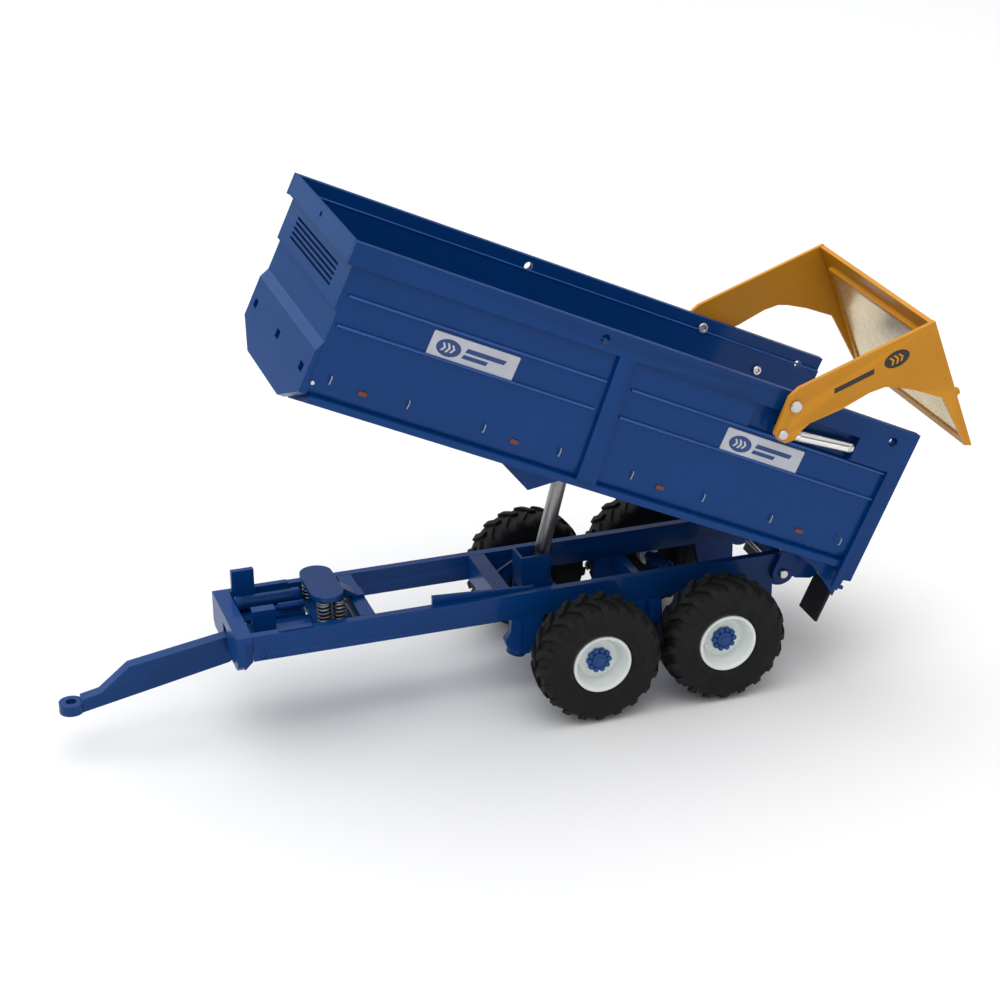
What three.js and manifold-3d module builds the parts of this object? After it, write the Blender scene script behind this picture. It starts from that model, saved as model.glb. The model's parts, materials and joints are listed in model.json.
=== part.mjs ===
// A 1:32 toy of a farm tipping trailer: tandem axles, a long tub tipped by a telescopic ram,
// and a tailgate on two swinging arms, each worked by a small ram.
// Millimetres. +X points to the rear (the tailgate end), -Y is the trailer's left, +Z is up.
// It is built as it stands: tub tipped, tailgate swung open. The ground is z = 0.
import * as THREE from 'three';
import { mergeVertices } from 'three/addons/utils/BufferGeometryUtils.js';
import Module from 'manifold-3d';

const wasm = await Module();
wasm.setup();

// ---- driving dimensions ----
const tipAngle = 25;
const gateOpenAngle = 45;
const gap = 0.1;

const axleHeight = 19.4;
const axleOffset = 20.1;
const wheelCentreY = 32.15;
const tyreRadius = 19.4;
const spindleRadius = 1.5;

const railInner = 13.9;
const railOuter = 16.5;
const railTop = 35.5;
const railBottom = 27.4;
const railFront = -119.9;
const betweenRails = railInner - gap;

const hinge = { x: 46.6, z: 29.4, pinRadius: 1.0 };
const drawbarPivot = { x: -117, z: 28.9, pinRadius: 0.9 };
const towEye = { x: -171.3, radius: 3.6, hole: 1.6 };
const springPlaces = { front: -96.9, rear: -92.3 };
const springY = 9.3;

const trunnion = { x: -29.6, z: 26 };
const ramLean = 14.26;
const ramReach = 43.67;
const ramTopPin = { u: -75.8, v: 7.6, radius: 0.9 };

const gatePivot = { u: -34.1, v: 55, pinRadius: 1.3 };
const gateRamMount = { u: -9.6, v: 47.8 };
const gateRamTilt = -4.67;
const gateRamReach = 24.44;
const gateRamY = 34.6;
const gateArmInner = 36.7;
const gateArmOuter = 38.1;
const gateRamPin = { a: -6.4, d: 6.6 };

// The tub widens towards the tailgate: every y is scaled by 1 at taperOrigin, more behind it.
const taperOrigin = -82.7;
const taperRate = 0.0002147;

const tubFront = -174.1;
const tubRear = 11.9;
const tubTop = 58.1;
const floorTop = 16.4;
const floorUnder = 14.8;
const wallOuter = 33.0;
const sideFrameInner = 33.1;
const sideFrameOuter = 34.4;

// ---- materials ----
const finish = (color, roughness, metalness) => new THREE.MeshStandardMaterial({ color, roughness, metalness });
const bluePaint = finish(0x20407f, 0.35, 0.1);
const yellowPaint = finish(0xe0a030, 0.4, 0.1);
const tyreRubber = finish(0x1b1c1d, 0.9, 0);
const rimGrey = finish(0xb9bcb9, 0.45, 0.2);
const steel = finish(0xc4c4c0, 0.25, 0.9);
const ramGrey = finish(0x707274, 0.4, 0.6);
const blackPlastic = finish(0x161718, 0.7, 0);

// ---- solids ----
const signedVolume = (positions, index) => {
  const corner = (i) => new THREE.Vector3().fromArray(positions, index[i] * 3);
  let volume = 0;
  for (let i = 0; i < index.length; i += 3) {
    volume += corner(i).dot(corner(i + 1).cross(corner(i + 2)));
  }
  return volume;
};

const solidOf = (geometry) => {
  const bare = geometry.clone();
  bare.deleteAttribute('normal');
  bare.deleteAttribute('uv');
  const merged = mergeVertices(bare, 1e-4);
  const triVerts = new Uint32Array(merged.index.array);
  const vertProperties = new Float32Array(merged.attributes.position.array);
  if (signedVolume(vertProperties, triVerts) < 0) triVerts.reverse();
  return new wasm.Manifold(new wasm.Mesh({ numProp: 3, vertProperties, triVerts }));
};

const geometryOf = (solid) => {
  const mesh = solid.getMesh();
  const geometry = new THREE.BufferGeometry();
  geometry.setAttribute('position', new THREE.BufferAttribute(new Float32Array(mesh.vertProperties), 3));
  geometry.setIndex(new THREE.BufferAttribute(new Uint32Array(mesh.triVerts), 1));
  return geometry;
};

const piece = (name, solid, material) => {
  const geometry = geometryOf(solid).toNonIndexed();
  geometry.computeVertexNormals();
  const mesh = new THREE.Mesh(geometry, material);
  mesh.name = name;
  return mesh;
};

const joined = (...solids) => solids.reduce((whole, next) => whole.add(next));
const cut = (solid, ...tools) => tools.reduce((rest, tool) => rest.subtract(tool), solid);
const mirrored = (solid) => solidOf(geometryOf(solid).scale(1, -1, 1));

const tapered = (solid) => {
  const geometry = geometryOf(solid);
  const position = geometry.attributes.position;
  for (let i = 0; i < position.count; i += 1) {
    const widening = 1 + taperRate * (position.getX(i) - taperOrigin);
    position.setY(i, position.getY(i) * widening);
  }
  return solidOf(geometry);
};

const box = (x0, x1, y0, y1, z0, z1) => {
  const geometry = new THREE.BoxGeometry(x1 - x0, y1 - y0, z1 - z0);
  return solidOf(geometry.translate((x0 + x1) / 2, (y0 + y1) / 2, (z0 + z1) / 2));
};

const outline = (points) => new THREE.Shape(points.map(([x, y]) => new THREE.Vector2(x, y)));
const extruded = (shape, depth) => new THREE.ExtrudeGeometry(shape, { depth, bevelEnabled: false, curveSegments: 10 });

// A plate drawn in x and z, between two y planes.
const sidePlate = (shape, y0, y1) => solidOf(extruded(shape, y1 - y0).rotateX(Math.PI / 2).translate(0, y1, 0));

// A plate drawn in y and z, between two x planes.
const toCrossPlane = new THREE.Matrix4().makeBasis(
  new THREE.Vector3(0, 1, 0),
  new THREE.Vector3(0, 0, 1),
  new THREE.Vector3(1, 0, 0),
);
const crossPlate = (shape, x0, x1) => {
  const geometry = extruded(shape, x1 - x0).applyMatrix4(toCrossPlane);
  return solidOf(geometry.translate(x0, 0, 0));
};

// A plate drawn in x and y, between two z planes.
const deckPlate = (shape, z0, z1) => solidOf(extruded(shape, z1 - z0).translate(0, 0, z0));

const rodY = (radius, x, z, y0, y1, segments = 20) => {
  const geometry = new THREE.CylinderGeometry(radius, radius, y1 - y0, segments);
  return solidOf(geometry.translate(x, (y0 + y1) / 2, z));
};
const rodX = (radius, y, z, x0, x1, segments = 20) => {
  const geometry = new THREE.CylinderGeometry(radius, radius, x1 - x0, segments);
  return solidOf(geometry.rotateZ(Math.PI / 2).translate((x0 + x1) / 2, y, z));
};
const rodZ = (radius, x, y, z0, z1, segments = 20) => {
  const geometry = new THREE.CylinderGeometry(radius, radius, z1 - z0, segments);
  return solidOf(geometry.rotateX(Math.PI / 2).translate(x, y, (z0 + z1) / 2));
};
const turned = (profile, segments) => {
  const points = profile.map(([radius, height]) => new THREE.Vector2(radius, height));
  return solidOf(new THREE.LatheGeometry([...points, points[0]], segments));
};

// Adds a left and a right copy of a solid made for the right-hand (+Y) side.
const addPair = (group, name, solid, material) => {
  group.add(piece(`${name}_left`, mirrored(solid), material));
  group.add(piece(`${name}_right`, solid, material));
};

// ---- chassis ----
const hingeBracketRadius = 4.9;

const chassisRail = () => {
  const shape = outline([
    [railFront, railTop],
    [railFront, railBottom],
    [-41.2, railBottom],
    [-41.4, 23.5],
    [-43.2, 20.6],
    [-42.6, 18.4],
    [-37.6, 15.2],
    [-35.6, 15.2],
    [-33, 19],
    [-31, railBottom],
    [30.8, railBottom],
    [32.6, 18],
    [36.2, 17.6],
    [36.4, 15.6],
    [38, 15],
    [42.6, 15],
    [44, 17],
  ]);
  const bracketStart = THREE.MathUtils.degToRad(-122);
  const bracketEnd = THREE.MathUtils.degToRad(65);
  shape.absarc(hinge.x, hinge.z, hingeBracketRadius, bracketStart, bracketEnd, false);
  shape.lineTo(45.5, railTop);
  const rail = sidePlate(shape, railInner, railOuter);
  const hangerRib = box(-39.6, -38.4, railOuter - gap, 17.2, 16, railBottom);
  const hingeBore = rodY(hinge.pinRadius + 0.05, hinge.x, hinge.z, 13, 17.5);
  const drawbarBore = rodY(drawbarPivot.pinRadius + 0.05, drawbarPivot.x, drawbarPivot.z, 13, 17.5);
  return cut(rail.add(hangerRib), hingeBore, drawbarBore);
};

const headstock = () => {
  const faceShape = outline([
    [-railOuter, railTop],
    [-railOuter, 26.2],
    [-14.9, 24.6],
    [14.9, 24.6],
    [railOuter, 26.2],
    [railOuter, railTop],
  ]);
  const gussetShape = outline([[-122.7, 24.9], [-120.1, 27.4], [-120.1, 33.6], [-122.7, 33.6]]);
  const face = crossPlate(faceShape, -124.8, -122.6);
  const topFlange = box(-122.7, -120, -railOuter, railOuter, 33.5, railTop);
  const gusset = sidePlate(gussetShape, 14.9, railOuter - gap);
  const leftShelf = box(-122.7, -99.6, -betweenRails, -2.4, 30, 31.2);
  const rightShelf = box(-122.7, -99.6, 2.4, 11.6, 30, 31.2);
  const drawbarSlot = box(-126, -121, -2.2, 2.2, 24, 32);
  return cut(joined(face, topFlange, gusset, mirrored(gusset), leftShelf, rightShelf), drawbarSlot);
};

const drawbar = () => {
  const bar = sidePlate(outline([
    [-168.4, 12],
    [-124.4, 20.8],
    [-114, 27],
    [-88.2, 28.8],
    [-88.2, 30.4],
    [-121.5, 30.4],
    [-124.8, 29.2],
    [-153.9, 24.5],
    [-162.7, 17.4],
    [-168.4, 16.2],
  ]), -2, 2);
  const eye = rodZ(towEye.radius, towEye.x, 0, 12, 15.2, 28);
  const eyeHole = rodZ(towEye.hole, towEye.x, 0, 11, 17, 20);
  const crosshead = box(-99.2, -87.6, -12, 12, 30.2, 32.2);
  const pivotBore = rodY(drawbarPivot.pinRadius + 0.05, drawbarPivot.x, drawbarPivot.z, -3, 3);
  const screwHead = rodZ(1.1, -119, 0, 30.3, 31.1, 12);
  return cut(joined(bar, eye, crosshead, screwHead), eyeHole, pivotBore);
};

const drawbarSpring = (x) => {
  const turns = 5;
  const wireRadius = 0.4;
  const coilRadius = 1.85;
  const lowest = 32.75;
  const height = 6.7;
  class Helix extends THREE.Curve {
    getPoint(t, target = new THREE.Vector3()) {
      const angle = turns * 2 * Math.PI * t;
      return target.set(coilRadius * Math.cos(angle), coilRadius * Math.sin(angle), lowest + height * t);
    }
  }
  const wire = new THREE.Shape();
  wire.absarc(0, 0, wireRadius, 0, 2 * Math.PI, false);
  const options = { steps: turns * 9, curveSegments: 2, bevelEnabled: false, extrudePath: new Helix() };
  return solidOf(new THREE.ExtrudeGeometry(wire, options).translate(x, springY, 0));
};

const springPlate = () => {
  const shape = new THREE.Shape();
  shape.absarc(-95.1, 6.5, 4.9, 0, Math.PI, false);
  shape.absarc(-95.1, -6.5, 4.9, Math.PI, 2 * Math.PI, false);
  const plate = deckPlate(shape, 40, 41.5);
  const strap = outline([
    [-92, 41.4],
    [-92, 40],
    [-85.6, railTop + gap],
    [-82.6, railTop + gap],
    [-82.6, railTop + 1],
    [-84.8, railTop + 1],
  ]);
  return plate.add(sidePlate(strap, -2.5, 2.5));
};

const valveBlock = () => {
  const block = box(-117.4, -110.6, -6, -2.6, 31.3, 38);
  const crossPipe = rodY(0.6, -112, 33.3, -2.7, 3.9, 12);
  const elbow = rodX(0.6, 3.9, 33.3, -112.6, -107.5, 12);
  const coupling = rodX(1.2, 3.9, 33.3, -107.6, -99.7, 14);
  const saddle = box(-105, -102, 3.1, 4.7, 31.3, 32.6);
  return joined(block, crossPipe, elbow, coupling, saddle);
};

const ramCrossmember = () => {
  const beam = box(-45, -40, -betweenRails, betweenRails, 27.5, railTop);
  const linerShape = outline([[-65, 30], [-33, 30], [-33, 36.1], [-65, 37.9]]);
  const liner = sidePlate(linerShape, -betweenRails, -12.6);
  const brace = deckPlate(outline([[-42.6, 0.9], [-42, 0.1], [-28.7, 10.9], [-29.3, 11.7]]), 33.4, 34.4);
  return joined(beam, liner, brace);
};

const ramCradle = () => {
  const cheekShape = outline([
    [-33.9, 23.3],
    [-23.2, 22.3],
    [-23.2, 31.2],
    [-24.4, 32.4],
    [-24.4, 41],
    [-33.9, 41],
  ]);
  const bore = rodY(1.55, trunnion.x, trunnion.z, 3, 5);
  const cheek = cut(sidePlate(cheekShape, 3.3, 4.3), bore);
  const frontWeb = box(-33.9, -33.1, -3.4, 3.4, 30, 41);
  const tie = box(-24.4, -23.2, -betweenRails, betweenRails, 22.3, 31.2);
  return joined(cheek, mirrored(cheek), frontWeb, tie);
};

const hingePin = () => {
  const head = rodY(1.5, hinge.x, hinge.z, 18.7, 19.5);
  const shank = rodY(hinge.pinRadius, hinge.x, hinge.z, -18.8, 18.8);
  return joined(shank, head, mirrored(head));
};

const suspension = () => {
  const leaf = (front, rear, bottom) => box(front, rear, 14, 16.4, bottom, bottom + 0.95);
  const pack = (front, rear, centre) => joined(
    leaf(front, rear, 16.35),
    leaf(centre - 10.5, centre + 10.5, 15.43),
    leaf(centre - 6, centre + 6, 14.5),
  );
  const hanger = sidePlate(outline([
    [-2.9, railBottom - gap],
    [-2.9, 15.8],
    [-1.4, 14.8],
    [6.6, 14.8],
    [8.3, 15.8],
    [7.7, 19],
    [7, railBottom - gap],
  ]), 14, 16.4);
  const sideBracket = box(2, 5.5, 16.3, 20.5, 21, 27.2);
  return joined(hanger, sideBracket, pack(-34, -2.5, -axleOffset), pack(7.9, 35.9, axleOffset));
};

const axle = (x) => {
  const beam = box(x - 2, x + 2, -24, 24, axleHeight - 2, axleHeight + 2);
  const reach = wheelCentreY + 1.7;
  return beam.add(rodY(spindleRadius, x, axleHeight, -reach, reach));
};

const addChassis = (group) => {
  addPair(group, 'chassis_rail', chassisRail(), bluePaint);
  group.add(piece('headstock', headstock(), bluePaint));
  group.add(piece('spring_crossmember', box(-87, -82.5, -betweenRails, betweenRails, 27.5, railTop), bluePaint));
  group.add(piece('ram_crossmember', ramCrossmember(), bluePaint));
  group.add(piece('axle_crossmember', box(3, 5.7, -betweenRails, betweenRails, 22, 29), bluePaint));
  group.add(piece('rear_crossmember', box(48.2, 50.4, -betweenRails, betweenRails, 26.6, 32.2), bluePaint));
  group.add(piece('ram_cradle', ramCradle(), bluePaint));
  group.add(piece('front_post', box(-119.6, -112.7, 11.8, 13.7, 30, 43.1), bluePaint));
  group.add(piece('oil_tank', rodX(2.4, 9, 33.8, -119.7, -99.5), bluePaint));
  group.add(piece('valve_block', valveBlock(), bluePaint));
  group.add(piece('spring_plate', springPlate(), bluePaint));
  addPair(group, 'drawbar_spring_front', drawbarSpring(springPlaces.front), steel);
  addPair(group, 'drawbar_spring_rear', drawbarSpring(springPlaces.rear), steel);
  group.add(piece('drawbar', drawbar(), bluePaint));
  group.add(piece('drawbar_pin', rodY(drawbarPivot.pinRadius, drawbarPivot.x, drawbarPivot.z, -16.4, 16.4), steel));
  group.add(piece('body_hinge_pin', hingePin(), steel));
  addPair(group, 'suspension', suspension(), bluePaint);
  group.add(piece('front_axle', axle(-axleOffset), bluePaint));
  group.add(piece('rear_axle', axle(axleOffset), bluePaint));
};

// ---- wheels: turned about their own Y, outer face towards +Y ----
const tyre = () => turned([
  [3.3, -3.8],
  [8.6, -3.8],
  [9.4, -5.6],
  [10.6, -6.9],
  [16.6, -6.9],
  [18.6, -5.9],
  [tyreRadius, -3.2],
  [tyreRadius, 3.2],
  [18.6, 5.9],
  [16.6, 6.9],
  [10.6, 6.9],
  [9.2, 5.4],
  [9.2, -2.5],
  [3.3, -2.5],
], 30);

const rim = () => turned([
  [spindleRadius + 0.06, -6.2],
  [spindleRadius + 0.06, 1.8],
  [4.4, 1.8],
  [5, 1.1],
  [6.2, 1],
  [7.2, 2.5],
  [8, 5.2],
  [8.3, 5.9],
  [9.15, 5.9],
  [9.15, -2.4],
  [3.2, -2.4],
  [3.2, -6.2],
], 24);

const hubCap = () => {
  const notches = 10;
  const radius = 4.05;
  const shape = new THREE.Shape();
  for (let i = 0; i < notches; i += 1) {
    const centre = (2 * Math.PI * i) / notches;
    const half = Math.PI / notches;
    [[-0.6, radius], [0.6, radius], [1, radius * 0.88]].forEach(([part, r]) => {
      const x = r * Math.cos(centre + part * half);
      const z = r * Math.sin(centre + part * half);
      if (i === 0 && part < 0) shape.moveTo(x, z);
      else shape.lineTo(x, z);
    });
  }
  return sidePlate(shape, 1.9, 3.2).add(rodY(1.7, 0, 0, 3.15, 3.8, 16));
};

const addWheel = (group, end, side) => {
  const wheel = new THREE.Group();
  wheel.position.set(end === 'front' ? -axleOffset : axleOffset, side * wheelCentreY, axleHeight);
  wheel.rotation.z = side > 0 ? 0 : Math.PI;
  const label = `${end}_${side > 0 ? 'right' : 'left'}`;
  wheel.add(piece(`tyre_${label}`, tyre(), tyreRubber));
  wheel.add(piece(`rim_${label}`, rim(), rimGrey));
  wheel.add(piece(`hub_cap_${label}`, hubCap(), bluePaint));
  group.add(wheel);
};

// ---- tub, in its own frame: u rearwards and v up from the hinge pin ----
const bothSides = (solid) => solid.add(mirrored(solid));

const tubShell = () => {
  const half = [
    [31.3, floorUnder],
    [31.3, 14.1],
    [31.7, 14.1],
    [wallOuter, 16.9],
    [wallOuter, tubTop],
    [31.7, tubTop],
    [31.7, 54],
    [31, 54],
    [31, 24],
    [24, floorTop],
  ];
  const otherHalf = half.map(([y, v]) => [-y, v]).reverse();
  const channel = crossPlate(outline([...half, ...otherHalf]), tubFront, tubRear);
  const ribs = [43.3, 34.6].flatMap((v) => [[-173, -91.5], [-83, 7]].map(
    ([front, rear]) => box(front, rear, wallOuter - gap, wallOuter + 0.5, v - 0.4, v + 0.4),
  ));
  const frontCorner = box(-176.4, tubFront + 0.5, 31.7, wallOuter, 53.3, tubTop);
  return tapered(joined(channel, bothSides(frontCorner), ...ribs.map(bothSides)));
};

const frontWall = () => {
  const profile = sidePlate(outline([
    [-173.4, 7.1],
    [-173.4, 51.6],
    [-176.2, 53.4],
    [-176.2, tubTop],
    [-177.3, tubTop],
    [-177.3, 52],
    [-175.3, 52],
    [-175.3, 38.6],
    [-174.2, 38],
    [-174.2, 29],
    [-175.7, 26],
    [-175.7, 7.1],
  ]), -40, 40);
  const face = crossPlate(outline([
    [-18, 7.1],
    [18, 7.1],
    [32.2, 13.6],
    [32.3, tubTop],
    [-32.3, tubTop],
    [-32.2, 13.6],
  ]), -178, -172);
  const louvres = [0, 1, 2, 3, 4].map((i) => box(-176, -174.1, -22, 22, 41.8 + 1.5 * i, 42.6 + 1.5 * i));
  const noseHole = (y) => box(-176, -174.2, y - 1.75, y + 1.75, 17.9, 20.4);
  const bandHole = rodX(0.9, 0, 55.5, -178, -175.3, 14);
  return cut(profile.intersect(face), ...louvres, noseHole(-26.6), noseHole(0), noseHole(26.6), bandHole);
};

const sideHoles = [{ u: -97.8, v: 55 }, { u: 4.1, v: 53.6 }];

const throughBores = () => [
  ...sideHoles.map(({ u, v }) => rodY(1.45, u, v, -40, 40, 14)),
  rodY(gatePivot.pinRadius + 0.05, gatePivot.u, gatePivot.v, -40, 40),
  rodY(0.95, gateRamMount.u, gateRamMount.v, -40, 40, 14),
];

const tub = () => {
  const pocket = box(-43.2, -7.1, 32.1, 40, 43.8, 51.55);
  return cut(tubShell().add(frontWall()), pocket, mirrored(pocket), ...throughBores());
};

const sideFrame = () => {
  const plate = (points) => sidePlate(outline(points), sideFrameInner, sideFrameOuter);
  const rail = plate([[-177.3, 51.6], [12, 51.6], [12, tubTop], [-177.3, tubTop]]);
  const centrePost = plate([[-91.3, 51.7], [-87.9, 13.6], [-81.5, 13.6], [-86, 51.7]]);
  const rearPost = plate([[7, 51.7], [7, 5.2], [9.2, 4.4], [9.8, 8.2], [12.3, 8.5], [12.3, 16], [12, 51.7]]);
  const cornerPlate = plate([[-7.1, 44.3], [7.1, 44.3], [7.1, 51.7], [-7.1, 51.7]]);
  return cut(tapered(joined(rail, centrePost, rearPost, cornerPlate)), ...throughBores());
};

const sill = () => {
  const section = outline([
    [14.6, 7.1],
    [18, 7.1],
    [32.9, 11.2],
    [32.9, 13.2],
    [31.2, 13.9],
    [31.2, 14.7],
    [14.6, 14.7],
  ]);
  const beam = tapered(crossPlate(section, -172.2, 12));
  const lugShape = new THREE.Shape();
  lugShape.absarc(0, 0, 3.5, Math.PI, 2 * Math.PI, false);
  lugShape.lineTo(4.8, -0.2);
  lugShape.lineTo(9.8, 1.1);
  lugShape.lineTo(11.4, 3);
  lugShape.lineTo(11.4, 8);
  lugShape.lineTo(-3.4, 8);
  const lug = sidePlate(lugShape, 16.9, 18.5);
  const guide = sidePlate(outline([[-104.6, 7.6], [-92.4, 1.6], [-83.7, 7.6]]), 17, 18);
  const flapBracket = sidePlate(outline([
    [-9, 12.7],
    [-9, 11.4],
    [1.2, 8.1],
    [8.6, 3.5],
    [11.4, 1.2],
    [11.9, 13.4],
  ]), 29.5, 31);
  return cut(joined(beam, lug, guide, flapBracket), rodY(hinge.pinRadius + 0.05, 0, 0, 16, 20));
};

const ramCrossbeam = () => {
  const beam = box(-80, -71, -14.4, 14.4, 13.2, 14.7);
  const lugShape = new THREE.Shape();
  lugShape.absarc(ramTopPin.u, ramTopPin.v, 2.2, Math.PI, 2 * Math.PI, false);
  lugShape.lineTo(ramTopPin.u + 3.4, 13.3);
  lugShape.lineTo(ramTopPin.u - 3.4, 13.3);
  const lug = sidePlate(lugShape, 1.75, 2.85);
  const bore = rodY(ramTopPin.radius + 0.05, ramTopPin.u, ramTopPin.v, -5, 5);
  return cut(joined(beam, lug, mirrored(lug)), bore);
};

const gatePivotPin = () => {
  const { u, v, pinRadius } = gatePivot;
  const shank = rodY(pinRadius, u, v, 31.1, 38.3);
  const outerHead = rodY(1.9, u, v, 38.25, 39);
  const innerRing = rodY(1.75, u, v, 30.3, 31.2);
  return cut(joined(shank, outerHead, innerRing), rodY(0.85, u, v, 30, 30.9, 14));
};

const gateRamMountPin = () => {
  const { u, v } = gateRamMount;
  const shank = rodY(0.9, u, v, 31.2, 36.3, 14);
  const outerHead = rodY(1.4, u, v, 36.2, 36.55, 16);
  const innerRing = rodY(1.6, u, v, 30.5, 31.35);
  return cut(joined(shank, outerHead, innerRing), rodY(0.75, u, v, 30, 31, 14));
};

// ---- tailgate, in its own frame: a along the arms from the pivot, z = -d down the panel ----
const gateArm = () => {
  const points = [
    [2.8, -4.9],
    [48.2, -4.6],
    [48.2, 19.2],
    [49.4, 19.6],
    [49.4, 21.2],
    [48.2, 21.6],
    [48.2, 39.6],
    [46.4, 38.6],
    [43.7, 20.1],
    [36, 13.2],
    [30.4, 9.2],
    [27.5, 7.7],
    [22.6, 7.1],
    [12.9, 7.8],
    [2.4, 7.2],
    [-1.3, 8.4],
    [-3.5, 10],
    [-6.6, 9.5],
    [-8.3, 7.5],
    [-8.6, 4.9],
    [-0.8, -3.7],
  ];
  const arm = sidePlate(outline(points.map(([a, d]) => [a, -d])), gateArmInner, gateArmOuter);
  const pivotBore = rodY(gatePivot.pinRadius + 0.05, 0, 0, 36, 39);
  const pinBore = rodY(0.75, gateRamPin.a, -gateRamPin.d, 36, 39, 14);
  return cut(arm, pivotBore, pinBore);
};

const gatePanel = () => {
  const sheet = box(46.6, 48.1, -gateArmInner + gap, gateArmInner - gap, -39.6, 4.5);
  const recess = box(46, 47.1, -33.6, 33.6, -36.9, -2.6);
  const rib = box(45, 46.7, -30.8, 30.8, -2.2, -0.6);
  return cut(sheet, recess).add(rib);
};

const gateRamPinSolid = () => {
  const shank = rodY(0.7, gateRamPin.a, -gateRamPin.d, 33.7, 38.3, 14);
  return shank.add(rodY(1.5, gateRamPin.a, -gateRamPin.d, 38.2, 38.8, 16));
};

// ---- tailgate rams, along -X from the mount pin ----
const gateRamBarrel = () => {
  const barrel = rodX(1.85, gateRamY, 0, -19.5, -1.7);
  const eye = rodY(2, 0, 0, gateRamY - 1.5, gateRamY + 1.5);
  const rodBore = rodX(1.15, gateRamY, 0, -20, -2.8);
  return cut(joined(barrel, eye), rodBore, rodY(0.95, 0, 0, 30, 40));
};

const gateRamRod = () => {
  const rod = rodX(1.1, gateRamY, 0, -gateRamReach, -5);
  const eye = rodY(1.95, -gateRamReach, 0, gateRamY - 1, gateRamY + 1);
  return cut(joined(rod, eye), rodY(1.35, -gateRamReach, 0, 30, 40));
};

// ---- main ram, along +Z from its trunnion ----
const ramBarrel = () => {
  const tube = cut(rodZ(3.1, 0, 0, -19.9, 6, 24), rodZ(2.45, 0, 0, -19, 7, 24));
  const stub = rodY(1.5, 0, 0, 2.8, 4.3);
  return joined(tube, stub, mirrored(stub));
};

const ramStageOne = () => joined(rodZ(2, 0, 0, 0.5, 26.5, 24), rodZ(2.35, 0, 0, 0.5, 1, 24));

const ramStageTwo = () => {
  const tube = cut(rodZ(2.35, 0, 0, 14.8, ramReach - 2.8, 24), rodZ(2.1, 0, 0, 14, 40, 24));
  const neck = box(-1.5, 1.5, -1.5, 1.5, ramReach - 3.2, ramReach);
  const eye = rodY(2.1, 0, ramReach, -1.5, 1.5);
  return cut(joined(tube, neck, eye), rodY(1.2, 0, ramReach, -3, 3));
};

// ---- the assembly ----
const trailer = new THREE.Group();
addChassis(trailer);
for (const end of ['front', 'rear']) {
  for (const side of [-1, 1]) addWheel(trailer, end, side);
}

const tippingBody = new THREE.Group();
tippingBody.position.set(hinge.x, 0, hinge.z);
tippingBody.rotation.y = THREE.MathUtils.degToRad(tipAngle);
tippingBody.add(piece('tub', tub(), bluePaint));
addPair(tippingBody, 'side_frame', sideFrame(), bluePaint);
addPair(tippingBody, 'sill', sill(), bluePaint);
tippingBody.add(piece('ram_crossbeam', ramCrossbeam(), bluePaint));
const topPin = rodY(ramTopPin.radius, ramTopPin.u, ramTopPin.v, -3.1, 3.1);
tippingBody.add(piece('ram_top_pin', topPin, steel));
addPair(tippingBody, 'mudflap', box(12.15, 13.1, 16, 27.4, -9.3, 6), blackPlastic);
addPair(tippingBody, 'gate_pivot_pin', gatePivotPin(), steel);
addPair(tippingBody, 'gate_ram_mount_pin', gateRamMountPin(), steel);
trailer.add(tippingBody);

const gateRams = new THREE.Group();
gateRams.position.set(gateRamMount.u, 0, gateRamMount.v);
gateRams.rotation.y = THREE.MathUtils.degToRad(gateRamTilt);
addPair(gateRams, 'gate_ram_barrel', gateRamBarrel(), steel);
addPair(gateRams, 'gate_ram_rod', gateRamRod(), steel);
tippingBody.add(gateRams);

const tailgate = new THREE.Group();
tailgate.position.set(gatePivot.u, 0, gatePivot.v);
tailgate.rotation.y = THREE.MathUtils.degToRad(-gateOpenAngle);
tailgate.add(piece('gate_panel', gatePanel(), yellowPaint));
addPair(tailgate, 'gate_arm', gateArm(), yellowPaint);
addPair(tailgate, 'gate_ram_pin', gateRamPinSolid(), steel);
tippingBody.add(tailgate);

const tippingRam = new THREE.Group();
tippingRam.position.set(trunnion.x, 0, trunnion.z);
tippingRam.rotation.y = THREE.MathUtils.degToRad(ramLean);
tippingRam.add(piece('ram_barrel', ramBarrel(), bluePaint));
tippingRam.add(piece('ram_stage_one', ramStageOne(), ramGrey));
tippingRam.add(piece('ram_stage_two', ramStageTwo(), ramGrey));
trailer.add(tippingRam);

// The shared frame has its origin at the middle of the bounding box's bottom face.
const bounds = new THREE.Box3().setFromObject(trailer, true);
const centre = bounds.getCenter(new THREE.Vector3());
trailer.position.set(-centre.x, -centre.y, -bounds.min.z);

export default trailer;
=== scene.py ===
"""Looks for a 1:32 toy farm tipping trailer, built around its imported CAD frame.

Sizes inside the piece builders are millimetres in a local frame. Each local frame is a matrix,
worked out from the record's joints, that turns them into metres in the row frame:
  chassis_at   x from the middle between the axles
  tub_at       x rearwards (u) and z up (v) from the tub's hinge pin, tipped with the tub
  gate_at      x along the tailgate arms from their pivot, z up the panel
  ram_at       z along the tipping ram from its trunnion
"""

import json
import math

import bmesh
import bpy
from mathutils import Matrix, Vector

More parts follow.
